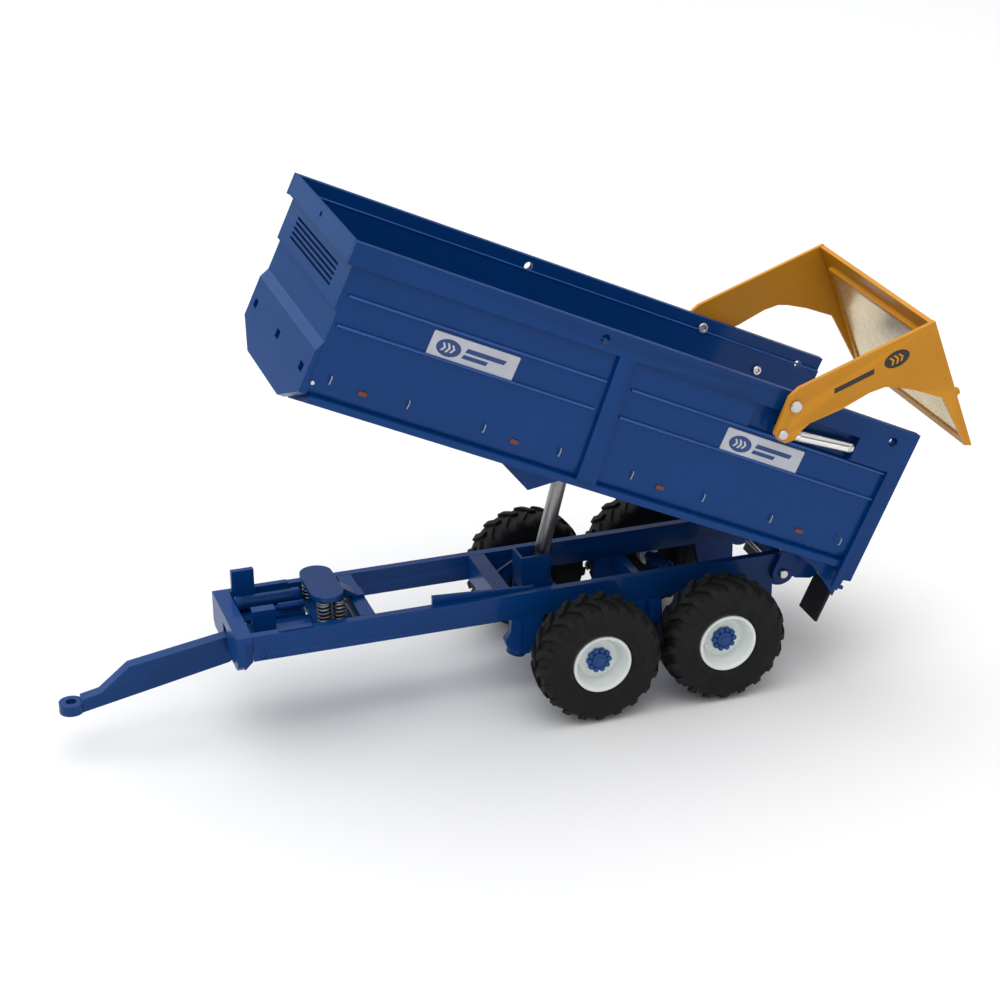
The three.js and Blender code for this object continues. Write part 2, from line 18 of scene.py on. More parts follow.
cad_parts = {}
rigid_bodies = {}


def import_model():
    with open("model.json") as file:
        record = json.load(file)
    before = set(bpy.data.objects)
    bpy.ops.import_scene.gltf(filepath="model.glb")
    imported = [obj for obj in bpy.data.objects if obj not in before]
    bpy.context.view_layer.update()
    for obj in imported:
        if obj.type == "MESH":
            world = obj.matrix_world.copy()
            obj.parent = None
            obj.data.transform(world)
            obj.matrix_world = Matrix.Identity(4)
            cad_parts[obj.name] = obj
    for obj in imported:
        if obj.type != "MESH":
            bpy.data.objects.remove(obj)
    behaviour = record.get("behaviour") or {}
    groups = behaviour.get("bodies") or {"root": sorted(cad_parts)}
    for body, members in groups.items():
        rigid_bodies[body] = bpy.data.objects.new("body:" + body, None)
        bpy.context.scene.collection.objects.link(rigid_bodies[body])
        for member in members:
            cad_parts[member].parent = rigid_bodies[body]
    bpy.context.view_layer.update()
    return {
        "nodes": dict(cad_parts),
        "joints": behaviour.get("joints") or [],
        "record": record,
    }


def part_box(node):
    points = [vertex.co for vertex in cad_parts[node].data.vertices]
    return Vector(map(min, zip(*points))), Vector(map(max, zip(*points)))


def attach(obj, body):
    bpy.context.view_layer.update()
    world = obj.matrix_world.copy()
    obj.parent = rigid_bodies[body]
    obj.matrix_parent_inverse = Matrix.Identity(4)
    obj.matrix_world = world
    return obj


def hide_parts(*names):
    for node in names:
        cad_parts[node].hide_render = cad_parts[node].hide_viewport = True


for leftover in list(bpy.data.objects):
    bpy.data.objects.remove(leftover)

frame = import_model()

MM = 0.001
TIP = math.radians(25)
GATE_OPEN = math.radians(45)
TAPER_ORIGIN = -82.7
TAPER_RATE = 0.0002147
WALL_OUTER = 33.0
AXLE_OFFSET = 20.1
RAIL_TOP = 35.5
HINGE_PIN = (46.6, 0, 29.4)
RAM_REACH = 43.67
GATE_PIVOT = (-34.1, 55.0)
GATE_RAM_MOUNT = (-9.6, 47.8)
GATE_RAM_PIN = (-6.4, 0, -6.6)
GATE_RAM_REACH = 24.44
GATE_ARM_OUTER = 38.1
SIDES = (("left", -1), ("right", 1))
ENDS = ("front", "rear")

record = frame["record"]
joints = {joint["name"]: joint for joint in frame["joints"]}
body_of_node = {node: body for body, nodes in record["behaviour"]["bodies"].items() for node in nodes}
slot_of_node = {part["node"]: part["material_slot"] for part in record["subparts"]}


def joint_point(name):
    return Vector(joints[name]["pos_m"])


def local_frame(origin, turn):
    return Matrix.Translation(origin) @ Matrix.Rotation(turn, 4, "Y") @ Matrix.Scale(MM, 4)


def ram_turn(name):
    """The turn about Y that takes a ram's own +Z onto its sliding direction."""
    axis = joints[name]["axis"]
    return math.atan2(axis[0], axis[2])


axle_middle = (joint_point("wheel_front_left_spin") + joint_point("wheel_rear_right_spin")) / 2
chassis_at = local_frame(Vector((axle_middle.x, 0, 0)), 0)
tub_at = local_frame(joint_point("body_tip"), TIP)
gate_at = local_frame(joint_point("gate_swing"), TIP - GATE_OPEN)
ram_at = local_frame(joint_point("ram_swing"), ram_turn("ram_stage_one_slide"))


# ---------------------------------------------------------------- materials


class Nodes:
    """A short way to write one material's node tree."""

    def __init__(self, name):
        self.material = bpy.data.materials.new(name)
        self.material.use_nodes = True
        self.tree = self.material.node_tree
        self.shader = self.tree.nodes["Principled BSDF"]
        self.coords = self.add("ShaderNodeTexCoord").outputs["Object"]

    def add(self, kind, **inputs):
        node = self.tree.nodes.new(kind)
        for key, value in inputs.items():
            node.inputs[key.replace("_", " ")].default_value = value
        return node

    def link(self, source, target):
        self.tree.links.new(source, target)

    def set(self, **inputs):
        for key, value in inputs.items():
            self.shader.inputs[key.replace("_", " ")].default_value = value

    def stretched(self, scale):
        mapping = self.add("ShaderNodeMapping", Scale=scale)
        self.link(self.coords, mapping.inputs["Vector"])
        return mapping.outputs["Vector"]

    def noise(self, scale, detail, coords=None):
        node = self.add("ShaderNodeTexNoise", Scale=scale, Detail=detail)
        self.link(coords or self.coords, node.inputs["Vector"])
        return node.outputs["Fac"]

    def ramp(self, factor, low, high, start=0.3, stop=0.7):
        node = self.add("ShaderNodeValToRGB")
        node.color_ramp.elements[0].position = start
        node.color_ramp.elements[0].color = low
        node.color_ramp.elements[1].position = stop
        node.color_ramp.elements[1].color = high
        self.link(factor, node.inputs["Fac"])
        return node.outputs["Color"]

    def mix(self, factor, source, colour):
        """Goes from the source colour to a fixed one as the factor rises."""
        node = self.tree.nodes.new("ShaderNodeMix")
        node.data_type = "RGBA"
        self.link(factor, node.inputs[0])
        self.link(source, node.inputs[6])
        node.inputs[7].default_value = colour
        return node.outputs[2]

    def roughness(self, factor, low, high):
        node = self.add("ShaderNodeMapRange")
        node.inputs["To Min"].default_value = low
        node.inputs["To Max"].default_value = high
        self.link(factor, node.inputs["Value"])
        self.link(node.outputs["Result"], self.shader.inputs["Roughness"])

    def bump(self, height, strength, distance):
        node = self.add("ShaderNodeBump", Strength=strength, Distance=distance)
        self.link(height, node.inputs["Height"])
        self.link(node.outputs["Normal"], self.shader.inputs["Normal"])

    def edges(self, sharpness=0.52):
        """1 along convex edges, 0 elsewhere."""
        geometry = self.tree.nodes.new("ShaderNodeNewGeometry")
        convexity = geometry.outputs["Pointiness"]
        return self.ramp(convexity, rgb(0, 0, 0), rgb(1, 1, 1), sharpness, sharpness + 0.06)


def rgb(red, green, blue):
    return (red, green, blue, 1.0)


def scaled(colour, factor):
    return (colour[0] * factor, colour[1] * factor, colour[2] * factor, 1.0)


def make_paint(name, colour, rough, coat=0.08, edge_highlight_lift=1.6, gloss=0.22):
    """Sprayed gloss paint: slight colour drift, orange peel, and convex edges lightened as a painted
    highlight.
    """
    nodes = Nodes(name)
    drift = nodes.ramp(nodes.noise(45, 2), scaled(colour, 0.9), scaled(colour, 1.1))
    # Convex edges get a lighter colour here: a painted highlight along the edges.
    edge_lightening = nodes.add("ShaderNodeMath")
    edge_lightening.operation = "MULTIPLY"
    edge_lightening.inputs[1].default_value = 0.5
    nodes.link(nodes.edges(), edge_lightening.inputs[0])
    tone = nodes.mix(edge_lightening.outputs[0], drift, scaled(colour, edge_highlight_lift))
    nodes.link(tone, nodes.shader.inputs["Base Color"])
    nodes.roughness(nodes.noise(160, 4), rough - 0.05, rough + 0.07)
    nodes.bump(nodes.noise(1500, 2), 0.12, 0.00004)
    nodes.set(Coat_Weight=coat, Coat_Roughness=0.1, Specular_IOR_Level=gloss)
    return nodes.material


def make_rubber(name, colour):
    """Moulded tyre rubber: fine grain, dry scuffs and paler lug edges."""
    nodes = Nodes(name)
    grey = nodes.ramp(nodes.noise(220, 6), scaled(colour, 0.75), scaled(colour, 1.5))
    edge_lightening = nodes.add("ShaderNodeMath")
    edge_lightening.operation = "MULTIPLY"
    edge_lightening.inputs[1].default_value = 0.45
    nodes.link(nodes.edges(0.53), edge_lightening.inputs[0])
    tone = nodes.mix(edge_lightening.outputs[0], grey, scaled(colour, 3.2))
    nodes.link(tone, nodes.shader.inputs["Base Color"])
    nodes.roughness(nodes.noise(400, 5), 0.6, 0.82)
    nodes.bump(nodes.noise(2600, 5), 0.35, 0.00006)
    nodes.set(Specular_IOR_Level=0.25)
    return nodes.material


def make_metal(name, colour, low, high, stretch):
    """Turned, drawn or plated metal, its fine marks stretched by a scale for each axis."""
    nodes = Nodes(name)
    lines = nodes.noise(1.0, 4, nodes.stretched(stretch))
    tone = nodes.ramp(lines, scaled(colour, 0.85), scaled(colour, 1.1))
    nodes.link(tone, nodes.shader.inputs["Base Color"])
    nodes.roughness(lines, low, high)
    nodes.bump(lines, 0.08, 0.00002)
    nodes.set(Metallic=1.0)
    return nodes.material


def make_plastic(name, colour, low, high, metallic=0.0, grain=1800, coat=0.0):
    """Moulded plastic: faint flow marks and a fine grain."""
    nodes = Nodes(name)
    flow = nodes.ramp(nodes.noise(90, 4), scaled(colour, 0.92), scaled(colour, 1.08))
    nodes.link(flow, nodes.shader.inputs["Base Color"])
    nodes.roughness(nodes.noise(350, 4), low, high)
    nodes.bump(nodes.noise(grain, 3), 0.15, 0.00004)
    nodes.set(Metallic=metallic, Coat_Weight=coat, Coat_Roughness=0.1)
    return nodes.material


def make_floor():
    """A smooth, pale studio sheet."""
    nodes = Nodes("studio_floor")
    tone = nodes.ramp(nodes.noise(3, 2), rgb(0.885, 0.885, 0.885), rgb(0.9, 0.9, 0.9))
    nodes.link(tone, nodes.shader.inputs["Base Color"])
    nodes.roughness(nodes.noise(6, 2), 0.75, 0.8)
    nodes.bump(nodes.noise(20, 2), 0.02, 0.00002)
    nodes.set(Specular_IOR_Level=0.2)
    return nodes.material


BLUE = rgb(0.0012, 0.034, 0.15)
YELLOW = rgb(0.53, 0.22, 0.008)

materials = {
    "blue_paint": make_paint("tub_blue_paint", BLUE, 0.36, coat=0.25, edge_highlight_lift=1.7, gloss=0.06),
    "chassis_blue": make_paint(
        "chassis_blue_paint", scaled(BLUE, 1.05), 0.38, coat=0.2, edge_highlight_lift=1.7, gloss=0.1
    ),
    "axle_blue": make_paint("axle_blue_paint", scaled(BLUE, 0.7), 0.42),
    "yellow_paint": make_paint("tailgate_yellow_paint", YELLOW, 0.38, coat=0.1, edge_highlight_lift=1.5),
    "hub_blue": make_paint(
        "hub_blue_paint", rgb(0.002, 0.045, 0.2), 0.3, coat=0.2, edge_highlight_lift=1.5, gloss=0.3
    ),
    "tyre": make_rubber("tyre_rubber", rgb(0.0062, 0.0064, 0.0066)),
    "rim": make_paint("rim_grey_paint", rgb(0.8, 0.84, 0.82), 0.36, coat=0.15, edge_highlight_lift=1.08),
    "pin_steel": make_metal("pin_steel", rgb(0.62, 0.62, 0.6), 0.22, 0.38, (300, 300, 300)),
    "spring_steel": make_metal("spring_steel", rgb(0.2, 0.2, 0.21), 0.25, 0.4, (500, 500, 500)),
    "ram_chrome": make_metal("ram_chrome", rgb(0.8, 0.8, 0.78), 0.08, 0.2, (60, 2500, 2500)),
    "ram_steel": make_metal("ram_steel", rgb(0.3, 0.3, 0.29), 0.28, 0.42, (2500, 2500, 60)),
    "black_plastic": make_rubber("flap_rubber", rgb(0.012, 0.012, 0.013)),
}
gate_lining = make_plastic("gate_lining_gloss", rgb(0.72, 0.58, 0.32), 0.22, 0.32, 0.55, 600, 0.15)
plate_silver = make_plastic("badge_plate_silver", rgb(0.52, 0.54, 0.6), 0.3, 0.42, 0.2)
# The beads' paint is the tub blue made 1.9 times lighter: a painted highlight along the ribs and the top rim.
bead_highlight_blue = make_paint("bead_painted_highlight_blue", scaled(BLUE, 1.9), 0.3, coat=0.45, edge_highlight_lift=1.7, gloss=0.3)
hook_wire = make_metal("hook_wire", rgb(0.4, 0.42, 0.46), 0.35, 0.5, (900, 900, 900))
badge_blue = make_plastic("badge_blue_print", rgb(0.012, 0.05, 0.2), 0.35, 0.45)
print_black = make_plastic("arm_black_print", rgb(0.018, 0.016, 0.012), 0.4, 0.5)
lens_red = make_plastic("marker_lens_red", rgb(0.14, 0.018, 0.014), 0.25, 0.4, 0.0, 2500, 0.2)
slot_painted_shadow = make_plastic("louvre_shadow", rgb(0.006, 0.015, 0.05), 0.6, 0.8)
floor_pale = make_floor()


# ---------------------------------------------------------------- mesh helpers


def finish_piece(name, bm, place, material, body, bevel=0.0, replaces=(), smooth=35):
    """Turns a bmesh in local millimetres into a shown piece that rides on a body."""
    bmesh.ops.remove_doubles(bm, verts=bm.verts, dist=1e-5)
    bmesh.ops.recalc_face_normals(bm, faces=bm.faces)
    mesh = bpy.data.meshes.new(name)
    bm.to_mesh(mesh)
    bm.free()
    mesh.transform(place)
    mesh.shade_smooth()
    mesh.set_sharp_from_angle(angle=math.radians(smooth))
    mesh.materials.append(material)
    piece = bpy.data.objects.new(name, mesh)
    bpy.context.scene.collection.objects.link(piece)
    if bevel:
        edge = piece.modifiers.new("edge", "BEVEL")
        edge.width = bevel * MM
        edge.segments = 2
        edge.limit_method = "ANGLE"
        edge.angle_limit = math.radians(40)
        edge.harden_normals = True
    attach(piece, body)
    if replaces:
        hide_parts(*replaces)


def replace_node(node, bm, place, bevel=0.0):
    """Shows a detailed piece in place of one CAD node, with that node's body and finish."""
    slot = slot_of_node[node]
    finish_piece(f"{node}_look", bm, place, materials[slot], body_of_node[node], bevel, (node,))


def add_trim(name, bm, place, slot, body, bevel=0.0):
    """Shows an extra piece with one of the record's finishes."""
    finish_piece(name, bm, place, materials[slot], body, bevel)


def add_lathe(bm, profile, segments, axis, centre=(0, 0, 0), closed=False):
    """Turns a profile of (radius, height) about an axis through centre."""
    turns = {
        "X": Matrix.Rotation(math.pi / 2, 4, "Y"),
        "Y": Matrix.Rotation(-math.pi / 2, 4, "X"),
        "Z": Matrix.Identity(4),
    }
    place = Matrix.Translation(centre) @ turns[axis]
    rings = []
    for radius, height in profile:
        if radius == 0:
            rings.append([bm.verts.new(place @ Vector((0, 0, height)))])
            continue
        ring = []
        for i in range(segments):
            angle = 2 * math.pi * i / segments
            point = Vector((radius * math.cos(angle), radius * math.sin(angle), height))
            ring.append(bm.verts.new(place @ point))
        rings.append(ring)
    pairs = list(zip(rings, rings[1:]))
    if closed:
        pairs.append((rings[-1], rings[0]))
    for lower, upper in pairs:
        for i in range(segments):
            j = (i + 1) % segments
            if len(lower) == 1:
                bm.faces.new((lower[0], upper[i], upper[j]))
            elif len(upper) == 1:
                bm.faces.new((lower[i], lower[j], upper[0]))
            else:
                bm.faces.new((lower[i], lower[j], upper[j], upper[i]))


def add_rod(bm, radius, start, stop, axis, centre=(0, 0, 0), segments=40, chamfer=0.15):
    """A round bar with chamfered ends, between two heights along an axis."""
    profile = [(0, start), (radius - chamfer, start), (radius, start + chamfer)]
    profile += [(radius, stop - chamfer), (radius - chamfer, stop), (0, stop)]
    add_lathe(bm, profile, segments, axis, centre)


def add_prism(bm, points, low, high, plane="XZ"):
    """Extrudes an outline drawn in the XZ or XY plane, between two values of the third axis."""

    def corner(point, depth):
        a, b = point
        return (a, depth, b) if plane == "XZ" else (a, b, depth)

    first = [bm.verts.new(corner(point, low)) for point in points]
    second = [bm.verts.new(corner(point, high)) for point in points]
    bm.faces.new(first)
    bm.faces.new(second)
    for i in range(len(points)):
        j = (i + 1) % len(points)
        bm.faces.new((first[i], first[j], second[j], second[i]))


def add_box(bm, low, high):
    """A block between two opposite corners."""
    outline = [(low[0], low[1]), (high[0], low[1]), (high[0], high[1]), (low[0], high[1])]
    add_prism(bm, outline, low[2], high[2], "XY")


def add_tube(bm, path, radius, sides):
    """A round wire along a path of points, with flat ends."""
    path = [Vector(point) for point in path]
    rings = []
    across = None
    for i, point in enumerate(path):
        ahead = path[min(i + 1, len(path) - 1)] - path[max(i - 1, 0)]
        ahead.normalize()
        if across is None:
            across = ahead.orthogonal().normalized()
        across = (across - ahead * across.dot(ahead)).normalized()
        other = ahead.cross(across)
        ring = []
        for k in range(sides):
            angle = 2 * math.pi * k / sides
            ring.append(bm.verts.new(point + (across * math.cos(angle) + other * math.sin(angle)) * radius))
        rings.append(ring)
    for lower, upper in zip(rings, rings[1:]):
        for k in range(sides):
            j = (k + 1) % sides
            bm.faces.new((lower[k], lower[j], upper[j], upper[k]))
    bm.faces.new(rings[0])
    bm.faces.new(rings[-1])


def rounded(x0, x1, z0, z1, radius, steps=5):
    """The outline of a rectangle with round corners."""
    corners = ((x1 - radius, z0 + radius, -90), (x1 - radius, z1 - radius, 0))
    corners += ((x0 + radius, z1 - radius, 90), (x0 + radius, z0 + radius, 180))
    points = []
    for x, z, start in corners:
        for i in range(steps + 1):
            angle = math.radians(start + 90 * i / steps)
            points.append((x + radius * math.cos(angle), z + radius * math.sin(angle)))
    return points


def taper(bm):
    """Widens a piece of the tub's side the way the tub widens."""
    for vert in bm.verts:
        vert.co.y *= 1 + TAPER_RATE * (vert.co.x - TAPER_ORIGIN)


# ---------------------------------------------------------------- carried-over CAD nodes


def soften(node, width, crease):
    """Keeps a CAD node's shape, rounds its edges sharper than crease and puts its finish on."""
    piece = frame["nodes"][node]
    mesh = piece.data
    mesh.polygons.foreach_set("use_smooth", [True] * len(mesh.polygons))
    mesh.edges.foreach_set("use_edge_sharp", [False] * len(mesh.edges))
    weld = piece.modifiers.new("weld", "WELD")
    weld.merge_threshold = 2e-6
    flat = piece.modifiers.new("flat", "DECIMATE")
    flat.decimate_type = "DISSOLVE"
    flat.angle_limit = math.radians(0.6)
    edge = piece.modifiers.new("edge", "BEVEL")
    edge.width = width * MM
    edge.segments = 2
    edge.limit_method = "ANGLE"
    edge.angle_limit = math.radians(crease)
    split = piece.modifiers.new("split", "EDGE_SPLIT")
    split.split_angle = math.radians(42)
    normals = piece.modifiers.new("normals", "WEIGHTED_NORMAL")
    normals.keep_sharp = False
    mesh.materials.clear()
    mesh.materials.append(materials[slot_of_node[node]])


KEPT = (
    "chassis_rail_left chassis_rail_right headstock spring_crossmember ram_crossmember axle_crossmember"
    " rear_crossmember ram_cradle front_post valve_block spring_plate drawbar suspension_left"
    " suspension_right front_axle rear_axle tub side_frame_left side_frame_right sill_left sill_right"
    " ram_crossbeam ram_top_pin drawbar_pin mudflap_left mudflap_right gate_panel gate_arm_left"
    " gate_arm_right"
).split()
# The plates with close neighbours get smaller edge radii than the rest.
EDGE_WIDTHS = {
    "tub": 0.1,
    "side_frame_left": 0.1,
    "side_frame_right": 0.1,
    "headstock": 0.08,
    "chassis_rail_left": 0.08,
    "chassis_rail_right": 0.08,
}
for kept in KEPT:
    soften(kept, EDGE_WIDTHS.get(kept, 0.16), 26 if kept == "tub" else 32)


# ---------------------------------------------------------------- wheels, turned about local Y


def tyre_mesh():
    """A carcass with bead and shoulder rings, and two staggered rows of bent lugs."""
    bm = bmesh.new()
    half = [(9.6, -6.0), (10.5, -6.6), (11.2, -6.75), (11.6, -6.6), (12.4, -6.65), (12.9, -6.85)]
    half += [(13.5, -6.85), (13.9, -6.7), (15.4, -6.75), (16.6, -6.6), (17.4, -6.0), (18.0, -4.6)]
    half.append((18.3, -2.4))
    outer = [(radius, -height) for radius, height in reversed(half)]
    profile = [(3.35, -3.7), (8.6, -3.7), (9.3, -5.3)] + half + outer
    profile += [(9.2, 5.3), (9.2, -2.6), (3.35, -2.6)]
    add_lathe(bm, profile, 120, "Y", closed=True)
    lugs = 20
    path = [(0.3, 19.38), (1.6, 19.38), (3.2, 19.3), (4.6, 19.05), (5.6, 18.6), (6.3, 17.9)]
    path += [(6.7, 17.1), (6.78, 16.5)]
    for side in (-1, 1):
        for i in range(lugs):
            start = 2 * math.pi * (i + (0.5 if side > 0 else 0)) / lugs
            stations = []
            for y, top in path:
                sweep = start + math.radians(11.0) * min(y / 4.8, 1.0)
                width = math.radians(3.9 + 0.8 * min(y / 5.8, 1.0))
                base = min(top - 0.9, 17.4)
                # On the sidewall the lug stands out of the side, so its base sinks inwards.
                depth = 0.0 if y < 6 else 0.7
                ring = []
                for angle, radius, inset in (
                    (sweep - width, base, depth),
                    (sweep - width * 0.8, top, 0),
                    (sweep + width * 0.8, top, 0),
                    (sweep + width, base, depth),
                ):
                    across = side * (y - inset)
                    ring.append(bm.verts.new((radius * math.cos(angle), across, radius * math.sin(angle))))
                stations.append(ring)
            for lower, upper in zip(stations, stations[1:]):
                for k in range(4):
                    j = (k + 1) % 4
                    bm.faces.new((lower[k], lower[j], upper[j], upper[k]))
            bm.faces.new(stations[0])
            bm.faces.new(stations[-1])
    return bm


def rim_mesh():
    """A deep dish: lip, slanting barrel, wheel disc with studs, and a sleeve behind it."""
    bm = bmesh.new()
    sleeve = [(9.1, -2.35), (3.15, -2.35), (3.15, -6.15), (1.6, -6.15), (1.6, 1.75)]
    disc = [(4.2, 1.75), (4.4, 1.65), (4.75, 1.2), (5.1, 1.05), (6.0, 1.0), (6.15, 0.8), (6.35, 0.45)]
    dish = [(6.75, 0.45), (6.95, 0.9), (7.45, 3.0), (7.85, 5.0), (8.05, 5.7)]
    lip = [(8.35, 6.0), (8.8, 6.0), (9.05, 5.8), (9.1, 5.3)]
    add_lathe(bm, sleeve[3:] + disc + dish + lip + sleeve[:3], 96, "Y", closed=True)
    for i in range(10):
        angle = 2 * math.pi * (i + 0.5) / 10
        add_rod(bm, 0.24, 0.95, 1.35, "Y", (5.45 * math.cos(angle), 0, 5.45 * math.sin(angle)), 12, 0.07)
    return bm


def hub_mesh():
    """A hub cap: ten rounded nuts packed round a stepped centre."""
    bm = bmesh.new()
    flange = [(0, 1.88), (3.45, 1.88), (3.6, 2.0), (3.6, 2.4), (3.4, 2.6), (2.35, 2.65)]
    boss = [(2.3, 3.15), (2.1, 3.35), (1.35, 3.4), (1.2, 3.65), (1.0, 3.78), (0, 3.8)]
    add_lathe(bm, flange + boss, 64, "Y")
    for i in range(10):
        angle = 2 * math.pi * i / 10
        centre = (3.15 * math.cos(angle), 0, 3.15 * math.sin(angle))
        add_rod(bm, 0.84, 1.88, 3.2, "Y", centre, 12, 0.2)
    return bm


for end in ENDS:
    for side, sign in SIDES:
        label = f"{end}_{side}"
        turn = Matrix.Rotation(0 if sign > 0 else math.pi, 4, "Z")
        at_wheel = Matrix.Translation(joint_point(f"wheel_{label}_spin")) @ turn @ Matrix.Scale(MM, 4)
        for build, kind, bevel in ((tyre_mesh, "tyre", 0.22), (rim_mesh, "rim", 0), (hub_mesh, "hub_cap", 0)):
            replace_node(f"{kind}_{label}", build(), at_wheel, bevel)


# ---------------------------------------------------------------- chassis details


def coil_points(x, y, low, high, radius, turns, per_turn=16):
    """A helix with flattened ends, as a list of points."""
    count = turns * per_turn
    points = []
    for i in range(count + 1):
        angle = 2 * math.pi * i / per_turn
        share = min(max((i - per_turn * 0.7) / (count - per_turn * 1.4), 0), 1)
        height = low + (high - low) * share
        points.append((x + radius * math.cos(angle), y + radius * math.sin(angle), height))
    return points


def place_springs():
    for node in frame["nodes"]:
        if not node.startswith("drawbar_spring"):
            continue
        low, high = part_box(node)
        inverse = chassis_at.inverted()
        low, high = inverse @ low, inverse @ high
        centre = (low + high) / 2
        radius = (high.x - low.x) / 2 - 0.42
        bm = bmesh.new()
        add_tube(bm, coil_points(centre.x, centre.y, low.z + 0.35, high.z - 0.35, radius, 7), 0.36, 10)
        add_rod(bm, 0.7, low.z + 0.05, high.z - 0.05, "Z", (centre.x, centre.y, 0), 24)
        replace_node(node, bm, chassis_at)


place_springs()


def place_chassis_details():
    # Rubbing pads on top of both rails.
    for side, sign in SIDES:
        bm = bmesh.new()
        low, high = sorted((sign * 13.95, sign * 16.2))
        add_prism(bm, rounded(-112, -102, low, high, 0.4), RAIL_TOP - 0.05, RAIL_TOP + 0.45, "XY")
        add_trim(f"rail_pad_{side}", bm, chassis_at, "blue_paint", "chassis", 0.12)
    # U-bolts that clamp the leaf springs to the axles.
    for side, sign in SIDES:
        bm = bmesh.new()
        for axle_x in (-AXLE_OFFSET, AXLE_OFFSET):
            for offset in (-2.9, 2.9):
                x = axle_x + offset
                inner, outer = sign * 13.75, sign * 16.65
                arc = [(x, inner, 14.2), (x, inner, 21.2), (x, inner + sign * 0.4, 21.75)]
                arc += [(x, outer - sign * 0.4, 21.75), (x, outer, 21.2), (x, outer, 14.2)]
                add_tube(bm, arc, 0.32, 8)
        add_trim(f"u_bolts_{side}", bm, chassis_at, "chassis_blue", "chassis")
    # Small bolts along the inner faces of the rails.
    bm = bmesh.new()
    for sign in (-1, 1):
        low, high = sorted((sign * 13.65, sign * 13.95))
        for x in (-14, -3, 12, 24, 36):
            add_rod(bm, 0.45, low, high, "Y", (x, 0, 34.2), 12, 0.08)
    add_trim("rail_bolts", bm, chassis_at, "chassis_blue", "chassis")
    # The bright screw on the drawbar, just behind the headstock.
    bm = bmesh.new()
    add_rod(bm, 1.0, 30.95, 31.75, "Z", (-119, 0, 0), 24, 0.25)
    add_trim("drawbar_screw", bm, chassis_at, "pin_steel", "drawbar")


place_chassis_details()


def place_round_chassis_pieces():
    bm = bmesh.new()
    front_cap = [(0, -119.65), (1.9, -119.65), (2.35, -119.2), (2.38, -117.6), (2.2, -117.4)]
    rear_cap = [(2.2, -102.2), (2.38, -102.0), (2.35, -100.0), (1.9, -99.55), (0, -99.55)]
    add_lathe(bm, front_cap + rear_cap, 56, "X", (0, 9, 33.8))
    replace_node("oil_tank", bm, chassis_at)
    bm = bmesh.new()
    add_rod(bm, 1.0, -18.8, 18.8, "Y", HINGE_PIN, 40)
    for low, high in ((-19.5, -18.72), (18.72, 19.5)):
        add_rod(bm, 1.48, low, high, "Y", HINGE_PIN, 40, 0.3)
    replace_node("body_hinge_pin", bm, chassis_at)


place_round_chassis_pieces()


# ---------------------------------------------------------------- rams and pins


def place_tipping_ram():
    barrel = bmesh.new()
    outside = [(0, -19.85), (2.8, -19.85), (3.08, -19.5), (3.08, 4.5), (2.95, 4.7), (3.08, 4.9), (3.08, 5.7)]
    inside = [(2.85, 5.95), (2.42, 5.95), (2.42, -18.9), (0, -18.9)]
    add_lathe(barrel, outside + inside, 72, "Z")
    add_rod(barrel, 1.48, 2.7, 4.25, "Y", segments=32)
    add_rod(barrel, 1.48, -4.25, -2.7, "Y", segments=32)
    first = bmesh.new()
    collar = [(0, 0.5), (2.2, 0.5), (2.32, 0.6), (2.32, 0.9), (2.2, 1.0)]
    rod = [(1.98, 1.0), (1.98, 25.9), (1.8, 26.1), (0, 26.1)]
    add_lathe(first, collar + rod, 72, "Z")
    second = bmesh.new()
    bore = [(0, 39.9), (2.12, 39.9), (2.12, 14.85)]
    tube = [(2.25, 14.85), (2.33, 15.0), (2.33, RAM_REACH - 3.1)]
    tube += [(2.1, RAM_REACH - 2.82), (0, RAM_REACH - 2.82)]
    add_lathe(second, bore + tube, 72, "Z")
    add_box(second, (-1.45, -1.45, RAM_REACH - 3.1), (1.45, 1.45, RAM_REACH - 1.5))
    eye = [(1.2, -1.45), (1.9, -1.45), (2.08, -1.3), (2.08, 1.3), (1.9, 1.45), (1.2, 1.45)]
    add_lathe(second, eye, 48, "Y", (0, 0, RAM_REACH), True)
    replace_node("ram_barrel", barrel, ram_at)
    replace_node("ram_stage_one", first, ram_at)
    replace_node("ram_stage_two", second, ram_at)


place_tipping_ram()


def place_gate_rams():
    for side, _ in SIDES:
        axis = joints[f"gate_rod_slide_{side}"]["axis"]
        turn = math.atan2(axis[2], -axis[0])
        at_ram = local_frame(joint_point(f"gate_ram_swing_{side}"), turn)
        barrel = bmesh.new()
        nose = [(0, -19.45), (1.15, -19.45), (1.65, -19.4), (1.84, -19.15), (1.84, -17.7), (1.76, -17.5)]
        domed_end = [(1.84, -17.3), (1.84, 0.3), (1.7, 1.1), (1.3, 1.65), (0.7, 1.9), (0, 1.95)]
        add_lathe(barrel, nose + domed_end, 64, "X")
        rod = bmesh.new()
        add_rod(rod, 1.08, -23.0, -17, "X", segments=40)
        eye = [(1.35, -0.95), (1.8, -0.95), (1.92, -0.8), (1.92, 0.8), (1.8, 0.95), (1.35, 0.95)]
        add_lathe(rod, eye, 48, "Y", (-GATE_RAM_REACH, 0, 0), True)
        replace_node(f"gate_ram_barrel_{side}", barrel, at_ram)
        replace_node(f"gate_ram_rod_{side}", rod, at_ram)


place_gate_rams()


def washer_pin(bm, centre, sign, ring, shank, head):
    """A pin with a hollow ring inside the tub and a chamfered head outside; lengths are |y|."""
    ring_radius, hole, ring_low, ring_high = ring
    shank_radius, shank_high = shank
    head_radius, head_high = head
    at = (centre[0], 0, centre[1])
    profile = [(0, ring_low + 0.5), (hole, ring_low + 0.5), (hole, ring_low + 0.1), (hole + 0.12, ring_low)]
    profile += [(ring_radius - 0.25, ring_low), (ring_radius, ring_low + 0.25), (ring_radius, ring_high)]
    profile += [(shank_radius, ring_high), (shank_radius, shank_high), (head_radius, shank_high)]
    profile += [(head_radius, head_high - 0.3), (head_radius - 0.3, head_high - 0.05), (0, head_high)]
    add_lathe(bm, [(radius, sign * height) for radius, height in profile], 48, "Y", at)


